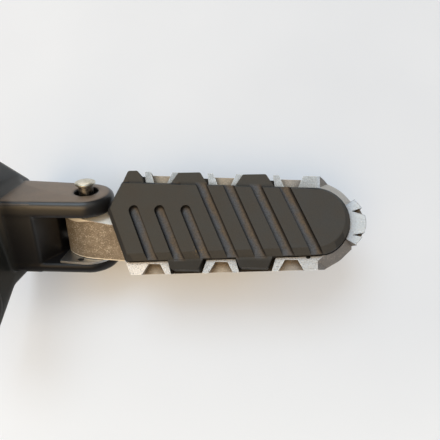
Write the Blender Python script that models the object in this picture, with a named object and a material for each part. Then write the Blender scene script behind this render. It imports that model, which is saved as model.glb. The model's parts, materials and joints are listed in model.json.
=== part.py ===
"""Folding motorcycle foot peg: toothed cast peg, rubber tread pad, clevis hanger, pin and detent.

Metres. +X runs outboard along the peg, +Y to the front of the motorcycle and +Z is the tread's normal, up.
Every piece is drawn about the middle of the peg's eye, on the hinge pin's axis, and then stands at EYE_AT.
So the finished object's origin is on the hanger's inboard face, midway between its two bolt sleeves. The pin
frame is also about the eye: its X runs outboard, its Z is the pin's axis and its Y points down to the front.
"""

import math

import bmesh
import bpy
from mathutils import Matrix, Vector

# How the pin stands: leaned forward from the tread's normal, and a little off square to the peg.
PIN_LEAN = math.radians(49)
PIN_SKEW = math.radians(4)
PIN_FRAME = Matrix.Rotation(-PIN_LEAN, 4, "X") @ Matrix.Rotation(PIN_SKEW, 4, "Y")

EYE_AT = (0.0430, 0.0170, -0.03325)

GAP = 0.0003
FINE_GAP = 0.0001
ROUND_STEPS = 5
BORE_SIDES = 32

# The peg's levels along Z.
PAD_TOP = 0.0153
TAB_TOP = 0.0131
TOOTH_TOP = 0.0113
DECK_TOP = 0.0066
DECK_UNDER = 0.0026
SKIRT_END = -0.0010
SKIRT_DRAFT = 0.0020

# The peg's plan. Every long edge closes in towards the outboard end at the same rate.
TAPER = 0.046
METAL_HALF = 0.0241
PAD_HALF = 0.0185
FRONT_TAB_HALF = 0.0236
REAR_TAB_HALF = 0.0227
INNER_X = 0.0220
PITCH = 0.028
FIRST_TAB_X = 0.021
FIRST_NOTCH_X = 0.035
FRONT_TAB_BASE_HALF = 0.0080
REAR_TAB_BASE_HALF = 0.0074
FRONT_TAB_SLOPE = 0.63
REAR_TAB_SLOPE = 0.42
FRONT_TAB_SHIFT = -0.0012
REAR_TAB_SHIFT = -0.0008
TAB_BLUNT = 0.0011
FRONT_POCKET_SLACK = 0.0002
REAR_POCKET_SLACK = 0.0010
FRONT_POCKET_SLOPE = 0.17
REAR_POCKET_SLOPE = 0.30
POCKET_EXTRA = 0.0060
NOTCH_OUTER_HALF = 0.0050
FRONT_NOTCH_SLOPE = 0.41
REAR_NOTCH_SLOPE = 0.57
FRONT_NOTCH_DEPTH = 0.0060
REAR_NOTCH_DEPTH = 0.0044
NOTCH_FLOOR = 0.0078
PAD_CHAMFER = 0.0020
PAD_CHAMFER_SHIFT = 0.0007
TAB_ROOT = 0.0030
WEDGE_TIP = (0.0126, 0.0044)
WEDGE_SLOPE = 0.42
WEDGE_UNDERCUT = 0.0016
WEDGE_ROUND = 0.0030
WEDGE_REAR_X = 0.0230
PAD_END_X = 0.100
PAD_END_RADIUS = 0.0138
CRESCENT_X = 0.1083
CRESCENT_RADIUS = 0.0119
CRESCENT_ANGLE = math.radians(49)
SHOULDER_X = 0.1045

# The sloped corners between the last teeth and the crescent.
CORNER_NORMAL = Vector((0.6514, 0.7588))
CORNER_INSET = 0.0128
REAR_CORNER_FALL = 0.63
FRONT_CORNER_FALL = 0.85
REAR_TOOTH_END_X = 0.1012
FRONT_TOOTH_END_X = 0.1026
TOOTH_END_FALL = 0.63
CRESCENT_FLANK_AT = Vector((0.1104, 0.0058))
CRESCENT_FLANK_ALONG = Vector((0.849, 0.528))

# Tread grooves.
GROOVE_COUNT = 7
SHORT_GROOVES = 3
GROOVE_PITCH = 0.01125
GROOVE_FIRST_X = 0.0271
GROOVE_LEAN = math.radians(25)
GROOVE_WIDTH = 0.0043
GROOVE_DEPTH = 0.0021
SHORT_GROOVE_TOP = 0.0062

# Pad fixing.
PLATE_THICK = 0.0015
SCREW_XS = (0.042, 0.084)
SCREW_RADIUS = 0.0030
SCREW_HEAD_RADIUS = 0.0055
SCREW_HEAD_THICK = 0.0014
SPOTFACE_RADIUS = 0.0078
SPOTFACE_Z = 0.0016
WASHER_THICK = 0.0013
LOCK_THICK = 0.0016
NUT_THICK = 0.0050
NUT_CORNER_RADIUS = 0.00577

# The eye and the clevis, along the pin's axis.
EYE_FLAT = 0.0095
EYE_NOSE_X = -0.0119
EYE_NOSE_Y = 0.0015
EYE_FAR_CURVE_X = -0.0030
EYE_NEAR_CURVE_X = 0.0050
EYE_HALF = 0.0106
NECK_END = 0.0220
NECK_TILT = math.radians(9)
NECK_FALL = 0.0036
UPPER_EAR = (0.0109, 0.0182)
LOWER_EAR = (-0.0172, -0.0120)
EAR_RADIUS = 0.0122
EAR_SHIFT = -0.0010
EAR_SPREAD = 0.0035
CLEVIS_REAR = -0.0360
WEB_REAR = -0.0364
LIP_REAR = -0.0368
CLEVIS_FRONT = 0.0110
STOP_FLOOR_Y = 0.0125

# Pin, bushes and detent.
PIN_RADIUS = 0.00325
PIN_HEAD_RADIUS = 0.00445
PIN_HEAD_UNDER = 0.0217
PIN_END = -0.0199
PIN_HOLE_RADIUS = 0.0036
COUNTERBORE_RADIUS = 0.0054
COUNTERBORE_DEPTH = 0.0036
CLIP_Z = -0.0185
CLIP_THICK = 0.0006
CLIP_GROOVE_RADIUS = 0.0025
BUSH_OUTER = 0.0050
BUSH_INNER = 0.00345
DETENT_PLATE = (-0.0119, -0.0109)
DETENT_RADIUS = 0.0104
DETENT_ANGLE = math.radians(33.6)
FOLD_ANGLE = math.radians(68)
BALL_RADIUS = 0.0020
BALL_Z = -0.00885
BALL_POCKET_RADIUS = 0.0023
BALL_POCKET_END = -0.0020
RIVET_XY = (-0.0072, 0.0066)
RIVET_RADIUS = 0.0015

# Hanger plate.
PLATE_OUTER_X = -0.0340
PLATE_INNER_X = -0.0430
HANGER_HOLES = ((0.006, 0.048), (-0.040, 0.0185))
HANGER_HOLE_RADIUS = 0.0062
BOSS_RADIUS = 0.0105
BOSS_PROUD = 0.0015
COLLAR_RADIUS = 0.0060
COLLAR_BORE = 0.0042


def material(name, colour, roughness, metallic):
    made = bpy.data.materials.new(name)
    made.use_nodes = True
    shader = made.node_tree.nodes["Principled BSDF"]
    shader.inputs["Base Color"].default_value = (*colour, 1.0)
    shader.inputs["Roughness"].default_value = roughness
    shader.inputs["Metallic"].default_value = metallic
    made.diffuse_color = (*colour, 1.0)
    return made


def collection(name):
    made = bpy.data.collections.new(name)
    bpy.context.scene.collection.children.link(made)
    return made


def corner_points(before, at, after, radius, steps):
    """Points of one rounded corner; a corner of radius 0 is a single point."""
    if radius == 0:
        return [at]
    to_before = (before - at).normalized()
    to_after = (after - at).normalized()
    half = to_before.angle(to_after) / 2
    start = at + to_before * (radius / math.tan(half))
    centre = at + (to_before + to_after).normalized() * (radius / math.sin(half))
    spoke = start - centre
    sweep = math.pi - 2 * half
    if to_before.x * to_after.y - to_before.y * to_after.x > 0:
        sweep = -sweep
    points = []
    for step in range(steps + 1):
        turn = Matrix.Rotation(sweep * step / steps, 2)
        points.append(centre + turn @ spoke)
    return points


def outline(corners, inset=0.0, steps=ROUND_STEPS):
    """Rounded loop from anticlockwise (x, y, radius) corners, moved inwards by inset."""
    points = [Vector(corner[:2]) for corner in corners]
    count = len(points)
    moved = []
    radii = []
    for i in range(count):
        along_in = (points[i] - points[i - 1]).normalized()
        along_out = (points[(i + 1) % count] - points[i]).normalized()
        normal_in = Vector((-along_in.y, along_in.x))
        normal_out = Vector((-along_out.y, along_out.x))
        mitre = (normal_in + normal_out) / (1 + normal_in.dot(normal_out))
        moved.append(points[i] + mitre * inset)
        turns_left = along_in.x * along_out.y - along_in.y * along_out.x > 0
        radius = corners[i][2]
        if radius > 0:
            radius = max(radius - inset if turns_left else radius + inset, 0.00005)
        radii.append(radius)
    loop = []
    for i in range(count):
        loop += corner_points(moved[i - 1], moved[i], moved[(i + 1) % count], radii[i], steps)
    return loop


def loft(name, levels, look=None):
    """Closed skin through loops of equal length, each given as (height, loop)."""
    count = len(levels[0][1])
    verts = [(p.x, p.y, height) for height, loop in levels for p in loop]
    faces = [tuple(reversed(range(count)))]
    for level in range(len(levels) - 1):
        low = level * count
        for i in range(count):
            j = (i + 1) % count
            faces.append((low + i, low + j, low + count + j, low + count + i))
    top = (len(levels) - 1) * count
    faces.append(tuple(range(top, top + count)))
    mesh = bpy.data.meshes.new(name)
    mesh.from_pydata(verts, [], faces)
    mesh.update()
    made = bpy.data.objects.new(name, mesh)
    PARTS.objects.link(made)
    if look:
        mesh.materials.append(look)
    return made


def prism(name, corners, low, high, look=None, inset=0.0):
    loop = outline(corners, inset)
    return loft(name, [(low, loop), (high, loop)], look)


def circle(radius, centre=(0.0, 0.0), sides=BORE_SIDES):
    loop = []
    for i in range(sides):
        angle = 2 * math.pi * (i + 0.5) / sides
        loop.append(Vector((centre[0] + radius * math.cos(angle), centre[1] + radius * math.sin(angle))))
    return loop


def disc(name, radius, low, high, centre=(0.0, 0.0), look=None, sides=BORE_SIDES):
    loop = circle(radius, centre, sides)
    return loft(name, [(low, loop), (high, loop)], look)


def turned(name, profile, look, centre=(0.0, 0.0), sides=BORE_SIDES):
    """Solid of revolution about Z from a (radius, height) profile listed from the bottom up."""
    return loft(name, [(height, circle(radius, centre, sides)) for radius, height in profile], look)


def ring(name, outer, inner, low, high, look, centre=(0.0, 0.0), sides=BORE_SIDES):
    made = disc(name, outer, low, high, centre, look, sides)
    cut(made, disc(name + "_bore", inner, low - 0.001, high + 0.001, centre, None, sides))
    return made


def tube(name, path, radius, sides, look, normal):
    """Round wire along a path; normal is any direction square to the path's start."""
    verts = []
    side = normal.normalized()
    for i, point in enumerate(path):
        ahead = path[min(i + 1, len(path) - 1)] - path[max(i - 1, 0)]
        ahead.normalize()
        side = (side - ahead * side.dot(ahead)).normalized()
        other = ahead.cross(side)
        for k in range(sides):
            angle = 2 * math.pi * k / sides
            verts.append(point + (side * math.cos(angle) + other * math.sin(angle)) * radius)
    faces = [tuple(reversed(range(sides)))]
    for i in range(len(path) - 1):
        for k in range(sides):
            n = (k + 1) % sides
            faces.append((i * sides + k, i * sides + n, (i + 1) * sides + n, (i + 1) * sides + k))
    last = (len(path) - 1) * sides
    faces.append(tuple(range(last, last + sides)))
    mesh = bpy.data.meshes.new(name)
    mesh.from_pydata(verts, [], faces)
    mesh.update()
    mesh.materials.append(look)
    made = bpy.data.objects.new(name, mesh)
    PARTS.objects.link(made)
    return made


def combine(target, tool, operation):
    PARTS.objects.unlink(tool)
    CUTTERS.objects.link(tool)
    tool.hide_render = True
    tool.display_type = "WIRE"
    step = target.modifiers.new(tool.name, "BOOLEAN")
    step.operation = operation
    step.solver = "EXACT"
    step.object = tool


def cut(target, tool):
    combine(target, tool, "DIFFERENCE")


def join(target, tool):
    combine(target, tool, "UNION")


def to_pin_frame(made):
    made.data.transform(PIN_FRAME)
    return made


def metal_half(x):
    return METAL_HALF - TAPER * x


def pad_half(x):
    return PAD_HALF - TAPER * x


def arc(x, radius, half_angle, steps):
    """Corners along an arc about (x, 0), from its low-Y end to its high-Y end."""
    corners = []
    for i in range(steps + 1):
        angle = half_angle * (2 * i / steps - 1)
        corners.append((x + radius * math.cos(angle), radius * math.sin(angle), 0.0))
    return corners


def body_corners():
    rear = [
        (INNER_X, -0.0167, 0.0008),
        (0.0253, -metal_half(0.0253), 0.0010),
        (SHOULDER_X, -metal_half(SHOULDER_X), 0.0008),
        (0.1113, -0.0153, 0.0100),
        (0.1165, -0.0100, 0.0004),
    ]
    front = [
        (0.1165, 0.0100, 0.0004),
        (0.1127, 0.0166, 0.0100),
        (SHOULDER_X, metal_half(SHOULDER_X), 0.0008),
        (INNER_X, metal_half(INNER_X), 0.0010),
    ]
    return rear + arc(CRESCENT_X, CRESCENT_RADIUS, CRESCENT_ANGLE, 14) + front


def wedge_x(y):
    """Where the pad's inner end is on its front slope, at y."""
    return WEDGE_TIP[0] + WEDGE_SLOPE * (y - WEDGE_TIP[1])


def pad_corners(undercut=0.0):
    """The pad's plan without its tabs: wedge at the inner end, round at the outer end."""
    front_y = pad_half(FIRST_TAB_X)
    tip = (WEDGE_TIP[0] + undercut, WEDGE_TIP[1], WEDGE_ROUND)
    rear = (WEDGE_REAR_X, -pad_half(WEDGE_REAR_X), 0.0008)
    front = (wedge_x(front_y) + undercut, front_y, 0.0008)
    return [tip, rear] + arc(PAD_END_X, PAD_END_RADIUS, math.pi / 2, 18) + [front]


def trapezoid(inboard, outboard, side, root_y, slopes, reach):
    """Anticlockwise outline on |y| = root_y between two Xs, whose two sides lean in by slopes."""
    tip_y = root_y + reach
    foot_y = root_y - TAB_ROOT
    corners = [
        (inboard, foot_y, 0.0),
        (outboard, foot_y, 0.0),
        (outboard, root_y, 0.0),
        (outboard - slopes[1] * reach, tip_y, TAB_BLUNT),
        (inboard + slopes[0] * reach, tip_y, TAB_BLUNT),
        (inboard, root_y, 0.0),
    ]
    if side > 0:
        return corners
    return [(at_x, -at_y, radius) for at_x, at_y, radius in reversed(corners)]


def end_tab(reach, slack, slope):
    """The front tab at the wedge; its inner side carries on the wedge's slope."""
    root = pad_half(FIRST_TAB_X)
    tip_y = root + reach
    right = FIRST_TAB_X + FRONT_TAB_SHIFT + FRONT_TAB_BASE_HALF + slack
    foot_y = root - TAB_ROOT
    return [
        (wedge_x(foot_y) + 0.0004, foot_y, 0.0),
        (right, foot_y, 0.0),
        (right, root, 0.0),
        (right - slope * reach, tip_y, TAB_BLUNT),
        (wedge_x(tip_y), tip_y, TAB_BLUNT),
    ]


def tab_outlines():
    """Corner lists of the pad's five tabs; the front ones lean more than the rear ones."""
    rear_reach = REAR_TAB_HALF - PAD_HALF
    front_reach = FRONT_TAB_HALF - PAD_HALF
    rear_slopes = (REAR_TAB_SLOPE, REAR_TAB_SLOPE)
    front_slopes = (FRONT_TAB_SLOPE, FRONT_TAB_SLOPE)
    lists = [end_tab(front_reach, 0.0, FRONT_TAB_SLOPE)]
    for i in (1, 2):
        x = FIRST_TAB_X + i * PITCH
        inboard = x + REAR_TAB_SHIFT - REAR_TAB_BASE_HALF
        outboard = x + REAR_TAB_SHIFT + REAR_TAB_BASE_HALF
        lists.append(trapezoid(inboard, outboard, -1, pad_half(x), rear_slopes, rear_reach))
        inboard = x + FRONT_TAB_SHIFT - FRONT_TAB_BASE_HALF
        outboard = x + FRONT_TAB_SHIFT + FRONT_TAB_BASE_HALF
        lists.append(trapezoid(inboard, outboard, 1, pad_half(x), front_slopes, front_reach))
    return lists


def pocket_outlines():
    """Corner lists of the pockets in the metal, which stand squarer than the tabs outboard of them."""
    reach = FRONT_TAB_HALF - PAD_HALF + POCKET_EXTRA
    rear_slopes = (REAR_POCKET_SLOPE, REAR_POCKET_SLOPE)
    front_slopes = (FRONT_TAB_SLOPE, FRONT_POCKET_SLOPE)
    lists = [end_tab(reach, FRONT_POCKET_SLACK, FRONT_POCKET_SLOPE)]
    for i in (1, 2):
        x = FIRST_TAB_X + i * PITCH
        inboard = x + REAR_TAB_SHIFT - REAR_TAB_BASE_HALF
        outboard = x + REAR_TAB_SHIFT + REAR_TAB_BASE_HALF + REAR_POCKET_SLACK
        lists.append(trapezoid(inboard, outboard, -1, pad_half(x), rear_slopes, reach))
        inboard = x + FRONT_TAB_SHIFT - FRONT_TAB_BASE_HALF
        outboard = x + FRONT_TAB_SHIFT + FRONT_TAB_BASE_HALF + FRONT_POCKET_SLACK
        lists.append(trapezoid(inboard, outboard, 1, pad_half(x), front_slopes, reach))
    return lists


def groove_cutters(pad):
    along = Vector((math.sin(GROOVE_LEAN), -math.cos(GROOVE_LEAN)))
    across = Vector((-along.y, along.x))
    half = GROOVE_WIDTH / 2
    for i in range(GROOVE_COUNT):
        top = SHORT_GROOVE_TOP - half if i < SHORT_GROOVES else 0.024
        middle_x = GROOVE_FIRST_X + i * GROOVE_PITCH
        start = Vector((middle_x - top * math.tan(GROOVE_LEAN), top)) - along * half
        finish = start + along * ((top + 0.024) / math.cos(GROOVE_LEAN))
        ends = [start - across * half, finish - across * half, finish + across * half, start + across * half]
        corners = [(p.x, p.y, half * 0.98) for p in ends]
        cut(pad, prism(f"groove_{i}", corners, PAD_TOP - GROOVE_DEPTH, PAD_TOP + 0.001))


def rubber_pad():
    corners = pad_corners()
    low = DECK_TOP + GAP
    levels = [
        (low, outline(pad_corners(WEDGE_UNDERCUT))),
        (TAB_TOP, outline(corners)),
        (PAD_TOP, [p + Vector((0, PAD_CHAMFER_SHIFT)) for p in outline(corners, PAD_CHAMFER)]),
    ]
    pad = loft("rubber_pad", levels, RUBBER)
    for i, tab in enumerate(tab_outlines()):
        join(pad, prism(f"tab_{i}", tab, low, TAB_TOP))
    groove_cutters(pad)
    recess_top = low + PLATE_THICK + GAP
    cut(pad, prism("plate_recess", plate_corners(), low - 0.001, recess_top, inset=-GAP))
    for i, x in enumerate(SCREW_XS):
        head_top = recess_top + SCREW_HEAD_THICK + GAP
        cut(pad, disc(f"head_recess_{i}", SCREW_HEAD_RADIUS + GAP, low, head_top, (x, 0.0)))
    return pad


def plate_corners():
    return [
        (0.0300, -0.0115, 0.0030),
        (0.0980, -0.0090, 0.0050),
        (0.0980, 0.0090, 0.0050),
        (0.0300, 0.0115, 0.0030),
    ]


def backing_plate():
    low = DECK_TOP + GAP
    plate = prism("backing_plate", plate_corners(), low, low + PLATE_THICK, STEEL)
    for i, x in enumerate(SCREW_XS):
        bore = SCREW_RADIUS + GAP
        cut(plate, disc(f"plate_hole_{i}", bore, low - 0.001, low + 0.003, (x, 0.0)))
    return plate


def pad_fixing(tag, x):
    """Screw, flat washer, split washer and nut that hold the pad from below."""
    at = (x, 0.0)
    head_low = DECK_TOP + PLATE_THICK + 2 * GAP
    washer_low = SPOTFACE_Z - GAP - WASHER_THICK
    lock_low = washer_low - FINE_GAP - LOCK_THICK
    nut_low = lock_low - FINE_GAP - NUT_THICK
    shank = SCREW_RADIUS
    head = SCREW_HEAD_RADIUS
    profile = [
        (shank - 0.0006, nut_low - 0.0018),
        (shank, nut_low - 0.0012),
        (shank, head_low),
        (head, head_low),
        (head, head_low + 0.0007),
        (head - 0.0012, head_low + 0.0012),
        (head - 0.0032, head_low + SCREW_HEAD_THICK),
    ]
    turned(f"pad_screw_{tag}", profile, ZINC, at)
    bore = SCREW_RADIUS + 2 * FINE_GAP
    washer_top = washer_low + WASHER_THICK
    ring(f"flat_washer_{tag}", 0.0063, bore, washer_low, washer_top, ZINC, at)
    lock = ring(f"lock_washer_{tag}", 0.0053, bore, lock_low, lock_low + LOCK_THICK, ZINC, at)
    half = 0.0004
    slit = [(x - half, -0.0090, 0.0), (x + half, -0.0090, 0.0), (x + half, 0.0, 0.0), (x - half, 0.0, 0.0)]
    cut(lock, prism(f"slit_{tag}", slit, lock_low - 0.001, lock_low + 0.003))
    nut = disc(f"pad_nut_{tag}", NUT_CORNER_RADIUS, nut_low, nut_low + NUT_THICK, at, ZINC, 6)
    cut(nut, disc(f"nut_bore_{tag}", bore, nut_low - 0.001, nut_low + 0.007, at))


def neck_section(scale):
    """The eye's square section as it stands in the peg's own Y and Z."""
    points = []
    for y, z in ((-EYE_FLAT, -EYE_HALF), (EYE_FLAT, -EYE_HALF), (EYE_FLAT, EYE_HALF), (-EYE_FLAT, EYE_HALF)):
        turned_to = Matrix.Rotation(-PIN_LEAN, 4, "X") @ Vector((0, y, z))
        points.append(Vector((turned_to.y, turned_to.z)) * scale)
    return points


def eye_corners():
    """Plan of the eye and neck in the pin frame: a blunt nose, flat far side and long near curve."""
    corners = [(NECK_END, -EYE_FLAT, 0.0), (NECK_END, EYE_FLAT, 0.0)]
    steps = 12
    for i in range(steps + 1):
        angle = math.pi / 2 * (1 + i / steps)
        x = EYE_FAR_CURVE_X - (EYE_FAR_CURVE_X - EYE_NOSE_X) * abs(math.cos(angle))
        corners.append((x, EYE_NOSE_Y + (EYE_FLAT - EYE_NOSE_Y) * math.sin(angle), 0.0))
    for i in range(1, steps + 1):
        angle = math.pi * (1 + 0.5 * i / steps)
        x = EYE_NEAR_CURVE_X - (EYE_NEAR_CURVE_X - EYE_NOSE_X) * abs(math.cos(angle))
        corners.append((x, EYE_NOSE_Y + (EYE_FLAT + EYE_NOSE_Y) * math.sin(angle), 0.0))
    return corners


def stop_heel():
    """Block under the neck that rests on the hanger's stop lip when the peg is down."""
    corners = [
        (0.0030, EYE_FLAT - 0.001, 0.0),
        (0.0100, EYE_FLAT - 0.001, 0.0),
        (0.0085, STOP_FLOOR_Y - GAP, 0.0008),
        (0.0030, STOP_FLOOR_Y - GAP, 0.0008),
    ]
    return to_pin_frame(prism("stop_heel", corners, -0.0070, 0.0070))


def neck_slope():
    """Cutter that slopes the neck's upper face down as it runs outboard and to the rear."""
    low = EYE_HALF - NECK_FALL
    high = 0.0130
    corners = [
        (-0.015, EYE_HALF, 0.0),
        (-0.001, EYE_HALF, 0.0),
        (0.030, low, 0.0),
        (0.030, high, 0.0),
        (-0.015, high, 0.0),
    ]
    tool = prism("neck_slope", corners, -0.012, 0.012)
    tool.data.transform(Matrix.Rotation(math.pi / 2, 4, "X"))
    hinge_line = Matrix.Translation((0.0, 0.0, EYE_HALF))
    tool.data.transform(hinge_line @ Matrix.Rotation(NECK_TILT, 4, "X") @ hinge_line.inverted())
    return to_pin_frame(tool)


def peg_body():
    corners = body_corners()
    levels = [(SKIRT_END, outline(corners, SKIRT_DRAFT)), (TOOTH_TOP, outline(corners))]
    body = loft("peg_body", levels, CAST)
    hollow = [(0.027, -0.017, 0.003), (0.100, -0.0135, 0.004), (0.111, -0.003, 0.004)]
    hollow += [(x, -y, radius) for x, y, radius in reversed(hollow)]
    cut(body, prism("under_hollow", hollow, SKIRT_END - 0.003, DECK_UNDER))
    for i, x in enumerate(SCREW_XS):
        wide = SPOTFACE_RADIUS + 0.0015
        join(body, disc(f"screw_boss_{i}", wide, SPOTFACE_Z - 0.001, DECK_TOP - 0.001, (x, 0.0)))
    stations = ((0.016, 0.96), (0.050, 0.66), (0.104, 0.24))
    keel = loft("keel", [(x, neck_section(scale)) for x, scale in stations])
    keel.data.transform(AXIS_X)
    join(body, keel)
    join(body, to_pin_frame(prism("eye_block", eye_corners(), -EYE_HALF, EYE_HALF)))
    join(body, stop_heel())
    cut(body, neck_slope())
    cut(body, prism("pad_pocket", pad_corners(), DECK_TOP, 0.030, inset=-GAP))
    for i, tab in enumerate(pocket_outlines()):
        cut(body, prism(f"tab_pocket_{i}", tab, DECK_TOP, 0.030, inset=-GAP))
    corner_cutters(body)
    notch_cutters(body)
    for i, x in enumerate(SCREW_XS):
        cut(body, disc(f"spotface_{i}", SPOTFACE_RADIUS, -0.020, SPOTFACE_Z, (x, 0.0)))
        cut(body, disc(f"screw_hole_{i}", SCREW_RADIUS + GAP, -0.001, 0.010, (x, 0.0)))
    eye_cutters(body)
    return body


def corner_loop(z, side):
    """Plan, at height z, of what is cut away between the last tooth and the crescent."""
    drop = TOOTH_TOP - z
    reach = CORNER_INSET + (FRONT_CORNER_FALL if side > 0 else REAR_CORNER_FALL) * drop
    tooth_x = (FRONT_TOOTH_END_X if side > 0 else REAR_TOOTH_END_X) + TOOTH_END_FALL * drop
    tooth_y = (reach - CORNER_NORMAL.x * (tooth_x - PAD_END_X)) / CORNER_NORMAL.y
    centre = Vector((PAD_END_X, 0.0))
    start = CORNER_NORMAL.dot(CRESCENT_FLANK_AT - centre)
    share = (reach - start) / CORNER_NORMAL.dot(CRESCENT_FLANK_ALONG)
    flank = CRESCENT_FLANK_AT + CRESCENT_FLANK_ALONG * share
    far = CRESCENT_FLANK_AT + CRESCENT_FLANK_ALONG * 0.018
    loop = [Vector((tooth_x, tooth_y)), flank, far, Vector((tooth_x, 0.0250))]
    if side > 0:
        return loop
    return [Vector((p.x, -p.y)) for p in reversed(loop)]


def corner_cutters(body):
    low = 0.0025
    high = TOOTH_TOP + 0.0005
    for side in (-1, 1):
        levels = [(low, corner_loop(low, side)), (high, corner_loop(high, side))]
        cut(body, loft(f"corner_{side + 1}", levels))


def notch_cutters(body):
    """Notches between the side teeth, two in the crescent and a blind drain beside the pad."""
    number = 0
    for i in range(3):
        x = FIRST_NOTCH_X + i * PITCH
        for side in (-1, 1):
            depth = FRONT_NOTCH_DEPTH if side > 0 else REAR_NOTCH_DEPTH
            slope = FRONT_NOTCH_SLOPE if side > 0 else REAR_NOTCH_SLOPE
            shape = notch_corners(x, side, depth, slope)
            cut(body, prism(f"notch_{number}", shape, NOTCH_FLOOR, TOOTH_TOP + 0.001))
            number += 1
    for tag, y, half in (("front", 0.0044, 0.0014), ("rear", -0.0053, 0.0008)):
        wedge = [(0.1149, y, 0.0), (0.1215, y - half * 1.6, 0.0), (0.1215, y + half * 1.6, 0.0)]
        cut(body, prism(f"crescent_notch_{tag}", wedge, TOOTH_TOP - 0.0024, TOOTH_TOP + 0.001))
    cut(body, disc("drain", 0.0010, DECK_TOP - 0.002, TOOTH_TOP + 0.001, (0.0976, -0.0141)))


def notch_corners(x, side, depth, slope):
    """Outline of a notch, depth deep at x and opening outwards by slope, past the metal's edge."""
    edge = metal_half(x)
    root_half = NOTCH_OUTER_HALF - slope * depth
    outer_half = NOTCH_OUTER_HALF + slope * 0.003
    corners = [
        (x - root_half, edge - depth, 0.0004),
        (x + root_half, edge - depth, 0.0004),
        (x + outer_half, edge + 0.003, 0.0),
        (x - outer_half, edge + 0.003, 0.0),
    ]
    if side > 0:
        return corners
    return [(at_x, -at_y, radius) for at_x, at_y, radius in reversed(corners)]


def eye_cutters(body):
    cut(body, to_pin_frame(disc("eye_bore", BUSH_OUTER + FINE_GAP, -0.020, 0.020)))
    ball_at = (DETENT_RADIUS * math.cos(DETENT_ANGLE), -DETENT_RADIUS * math.sin(DETENT_ANGLE))
    pocket = disc("ball_pocket", BALL_POCKET_RADIUS, -0.013, BALL_POCKET_END, ball_at)
    cut(body, to_pin_frame(pocket))


def ear_corners(reach_rear):
    """Plan of one ear: round about the pin, spreading a little towards the hanger."""
    centre_y = EAR_SHIFT
    corners = []
    steps = 16
    for i in range(steps + 1):
        angle = math.pi * (i / steps - 0.5)
        x = EAR_RADIUS * math.cos(angle)
        corners.append((x, centre_y + EAR_RADIUS * math.sin(angle), 0.0))
    corners.append((reach_rear, CLEVIS_FRONT, 0.0))
    corners.append((reach_rear, centre_y - EAR_RADIUS - EAR_SPREAD, 0.0))
    return corners


def ear(name, low, high, round_top):
    """One ear with its outer edge well rounded and its inner edge eased."""
    corners = ear_corners(CLEVIS_REAR)
    big = 0.0028
    small = 0.0008
    steps = 5
    curve = []
    for i in range(steps + 1):
        angle = math.pi / 2 * i / steps
        curve.append((big * (1 - math.cos(angle)), big * (1 - math.sin(angle))))
    thick = high - low
    rise = [(small, 0.0), (0.0, small)] + [(inset, thick - drop) for inset, drop in curve]
    if not round_top:
        rise = [(inset, thick - height) for inset, height in reversed(rise)]
    levels = [(low + height, outline(corners, inset)) for inset, height in rise]
    return loft(name, levels, PAINT)


def hanger_bracket():
    bracket = to_pin_frame(ear("hanger_bracket", *UPPER_EAR, True))
    join(bracket, to_pin_frame(ear("lower_ear", *LOWER_EAR, False)))
    web = [
        (-0.0140, -0.0040, 0.0008),
        (-0.0140, CLEVIS_FRONT - 0.0010, 0.0008),
        (WEB_REAR, CLEVIS_FRONT - 0.0010, 0.0),
        (WEB_REAR, -0.0165, 0.0),
        (-0.0195, -0.0150, 0.0008),
    ]
    join(bracket, to_pin_frame(prism("web", web, LOWER_EAR[0] + 0.001, UPPER_EAR[1] - 0.001)))
    join(bracket, stop_lip())
    join(bracket, root_flare())
    join(bracket, hanger_plate())
    for i, at in enumerate(HANGER_HOLES):
        boss = disc(f"boss_{i}", BOSS_RADIUS, PLATE_INNER_X + 0.001, PLATE_OUTER_X + BOSS_PROUD, at)
        boss.data.transform(AXIS_X)
        join(bracket, boss)
    for i, at in enumerate(HANGER_HOLES):
        hole = disc(f"hanger_hole_{i}", HANGER_HOLE_RADIUS, PLATE_INNER_X - 0.002, PLATE_OUTER_X + 0.005, at)
        hole.data.transform(AXIS_X)
        cut(bracket, hole)
    cut(bracket, to_pin_frame(disc("pin_hole", PIN_HOLE_RADIUS, -0.025, 0.025)))
    low = UPPER_EAR[1] - COUNTERBORE_DEPTH
    cut(bracket, to_pin_frame(disc("counterbore", COUNTERBORE_RADIUS, low, 0.025)))
    cut(bracket, to_pin_frame(disc("rivet_hole", RIVET_RADIUS + FINE_GAP, -0.020, -0.010, RIVET_XY)))
    return bracket


def stop_lip():
    """Lip on the clevis's far side that the peg's heel rests on."""
    under_y = STOP_FLOOR_Y + 0.0042
    corners = [
        (LIP_REAR, CLEVIS_FRONT - 0.0030, 0.0),
        (-0.0145, CLEVIS_FRONT - 0.0030, 0.0),
        (-0.0135, STOP_FLOOR_Y, 0.0010),
        (0.0070, STOP_FLOOR_Y, 0.0006),
        (0.0050, under_y, 0.0015),
        (LIP_REAR, under_y, 0.0),
    ]
    return to_pin_frame(prism("stop_lip", corners, -0.0100, 0.0100))


def root_flare():
    """Root that spreads into the hanger plate on every side but the front."""
    radius = 0.0040
    levels = []
    steps = 5
    start = -0.0370
    for i in range(steps + 1):
        angle = math.pi / 2 * i / steps
        spread = radius * (1 - math.sin(angle)) - 0.0002
        near_y = EAR_SHIFT - EAR_RADIUS - EAR_SPREAD - spread
        low = LOWER_EAR[0] - spread
        high = UPPER_EAR[1] + spread
        corners = [
            (near_y, low, 0.0025),
            (CLEVIS_FRONT - 0.0005, low, 0.0025),
            (CLEVIS_FRONT - 0.0005, high, 0.0065),
            (near_y, high, 0.0025),
        ]
        levels.append((start + 0.0015 + radius * (1 - math.cos(angle)), outline(corners)))
    levels.insert(0, (start, levels[0][1]))
    flare = loft("root_flare", levels)
    flare.data.transform(AXIS_X)
    return to_pin_frame(flare)


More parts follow.
